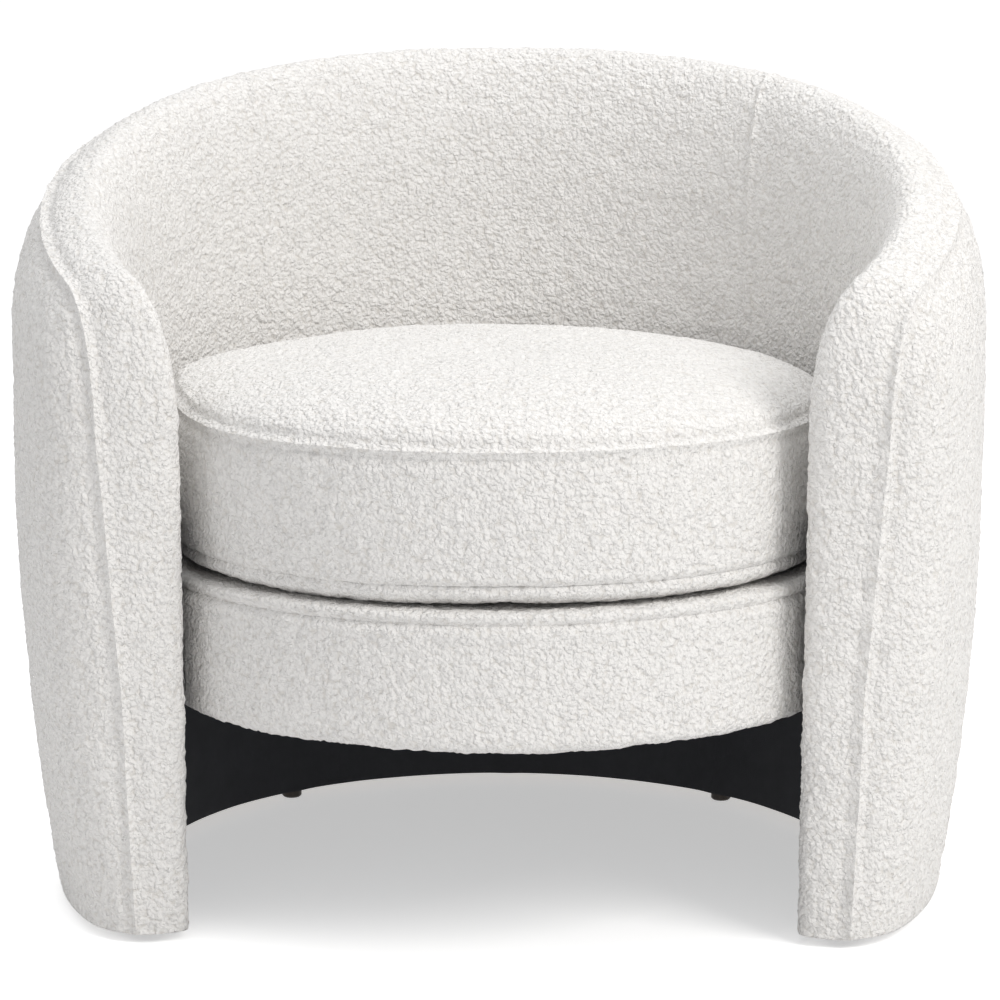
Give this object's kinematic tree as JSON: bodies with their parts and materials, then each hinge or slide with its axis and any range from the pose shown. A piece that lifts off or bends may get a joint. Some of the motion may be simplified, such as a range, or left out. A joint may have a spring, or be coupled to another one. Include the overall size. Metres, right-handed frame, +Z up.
{
  "type": "barrel armchair",
  "caption": "Upholstered barrel armchair with a C-shaped wrap-around back and arms, a round seat base and a loose round cushion.",
  "frame": {"origin": "middle of the footprint, on the floor", "axes": "+Z up, the front of the chair faces -Y, and +X points to the right seen from the front, which is the sitter's left"},
  "size_m": [0.8, 0.69, 0.6864],
  "materials": {
    "boucle": "ivory looped boucle",
    "black_cambric": "black non-woven cambric",
    "plywood": "raw birch plywood",
    "beech": "raw beech",
    "hardboard": "bent hardboard",
    "foam": "polyurethane foam",
    "fibre_wrap": "polyester fibre",
    "burlap": "jute burlap",
    "glide_plastic": "dark brown plastic glide",
    "zinc_steel": "zinc plated steel",
    "zip_tape": "ivory zip tape",
    "zip_nylon": "ivory nylon coil",
    "zip_metal": "nickel plated"
  },
  "bodies": {
    "shell": {"rib_arm_right": "plywood", "rib_side_right": "plywood", "rib_back_right": "plywood", "rib_back": "plywood", "rib_back_left": "plywood", "rib_side_left": "plywood", "rib_arm_left": "plywood", "base_ring": "plywood", "seat_ring": "plywood", "top_rail": "plywood", "seat_hoop": "plywood", "outer_board": "hardboard", "inner_board": "hardboard", "front_spring_rail": "beech", "rear_spring_rail": "beech", "corner_blocks": "beech", "mounting_blocks": "beech", "outer_foam": "foam", "inside_back_foam": "foam", "inside_arm_foam_left": "foam", "inside_arm_foam_right": "foam", "rim_foam": "foam", "arm_front_foam_left": "foam", "arm_front_foam_right": "foam", "deck_foam": "foam", "band_foam": "foam", "outside_cover": "boucle", "inside_back_cover": "boucle", "inside_arm_cover_left": "boucle", "inside_arm_cover_right": "boucle", "deck_cover": "boucle", "band_cover": "boucle", "cambric_lining": "black_cambric", "dust_cover": "black_cambric", "burlap": "burlap", "glides": "glide_plastic", "mounting_bolts": "zinc_steel", "frame_screws": "zinc_steel", "spring_clips": "zinc_steel", "seat_springs": "zinc_steel"},
    "loose_cushion": {"cushion_top_panel": "boucle", "cushion_boxing": "boucle", "cushion_bottom_panel": "boucle", "cushion_wrap": "fibre_wrap", "cushion_core": "foam", "zip_tape": "zip_tape", "zip_teeth": "zip_nylon"},
    "slider": {"zip_slider": "zip_metal"},
    "pull": {"zip_pull": "zip_metal"}
  },
  "joints": [
    {"name": "cushion_lift", "type": "slide", "parent": "shell", "child": "loose_cushion", "axis": [0, 0, 1], "range_m": [0, 0.42]},
    {"name": "zip_slide", "type": "hinge", "parent": "loose_cushion", "child": "slider", "pos_m": [0, -0.061, 0.352], "axis": [0, 0, -1], "range_deg": [0, 70]},
    {"name": "zip_pull_swing", "type": "hinge", "parent": "slider", "child": "pull", "pos_m": [-0.16651, 0.1768, 0.352], "axis": [0.8192, 0.5736, 0], "range_deg": [0, 170]}
  ]
}
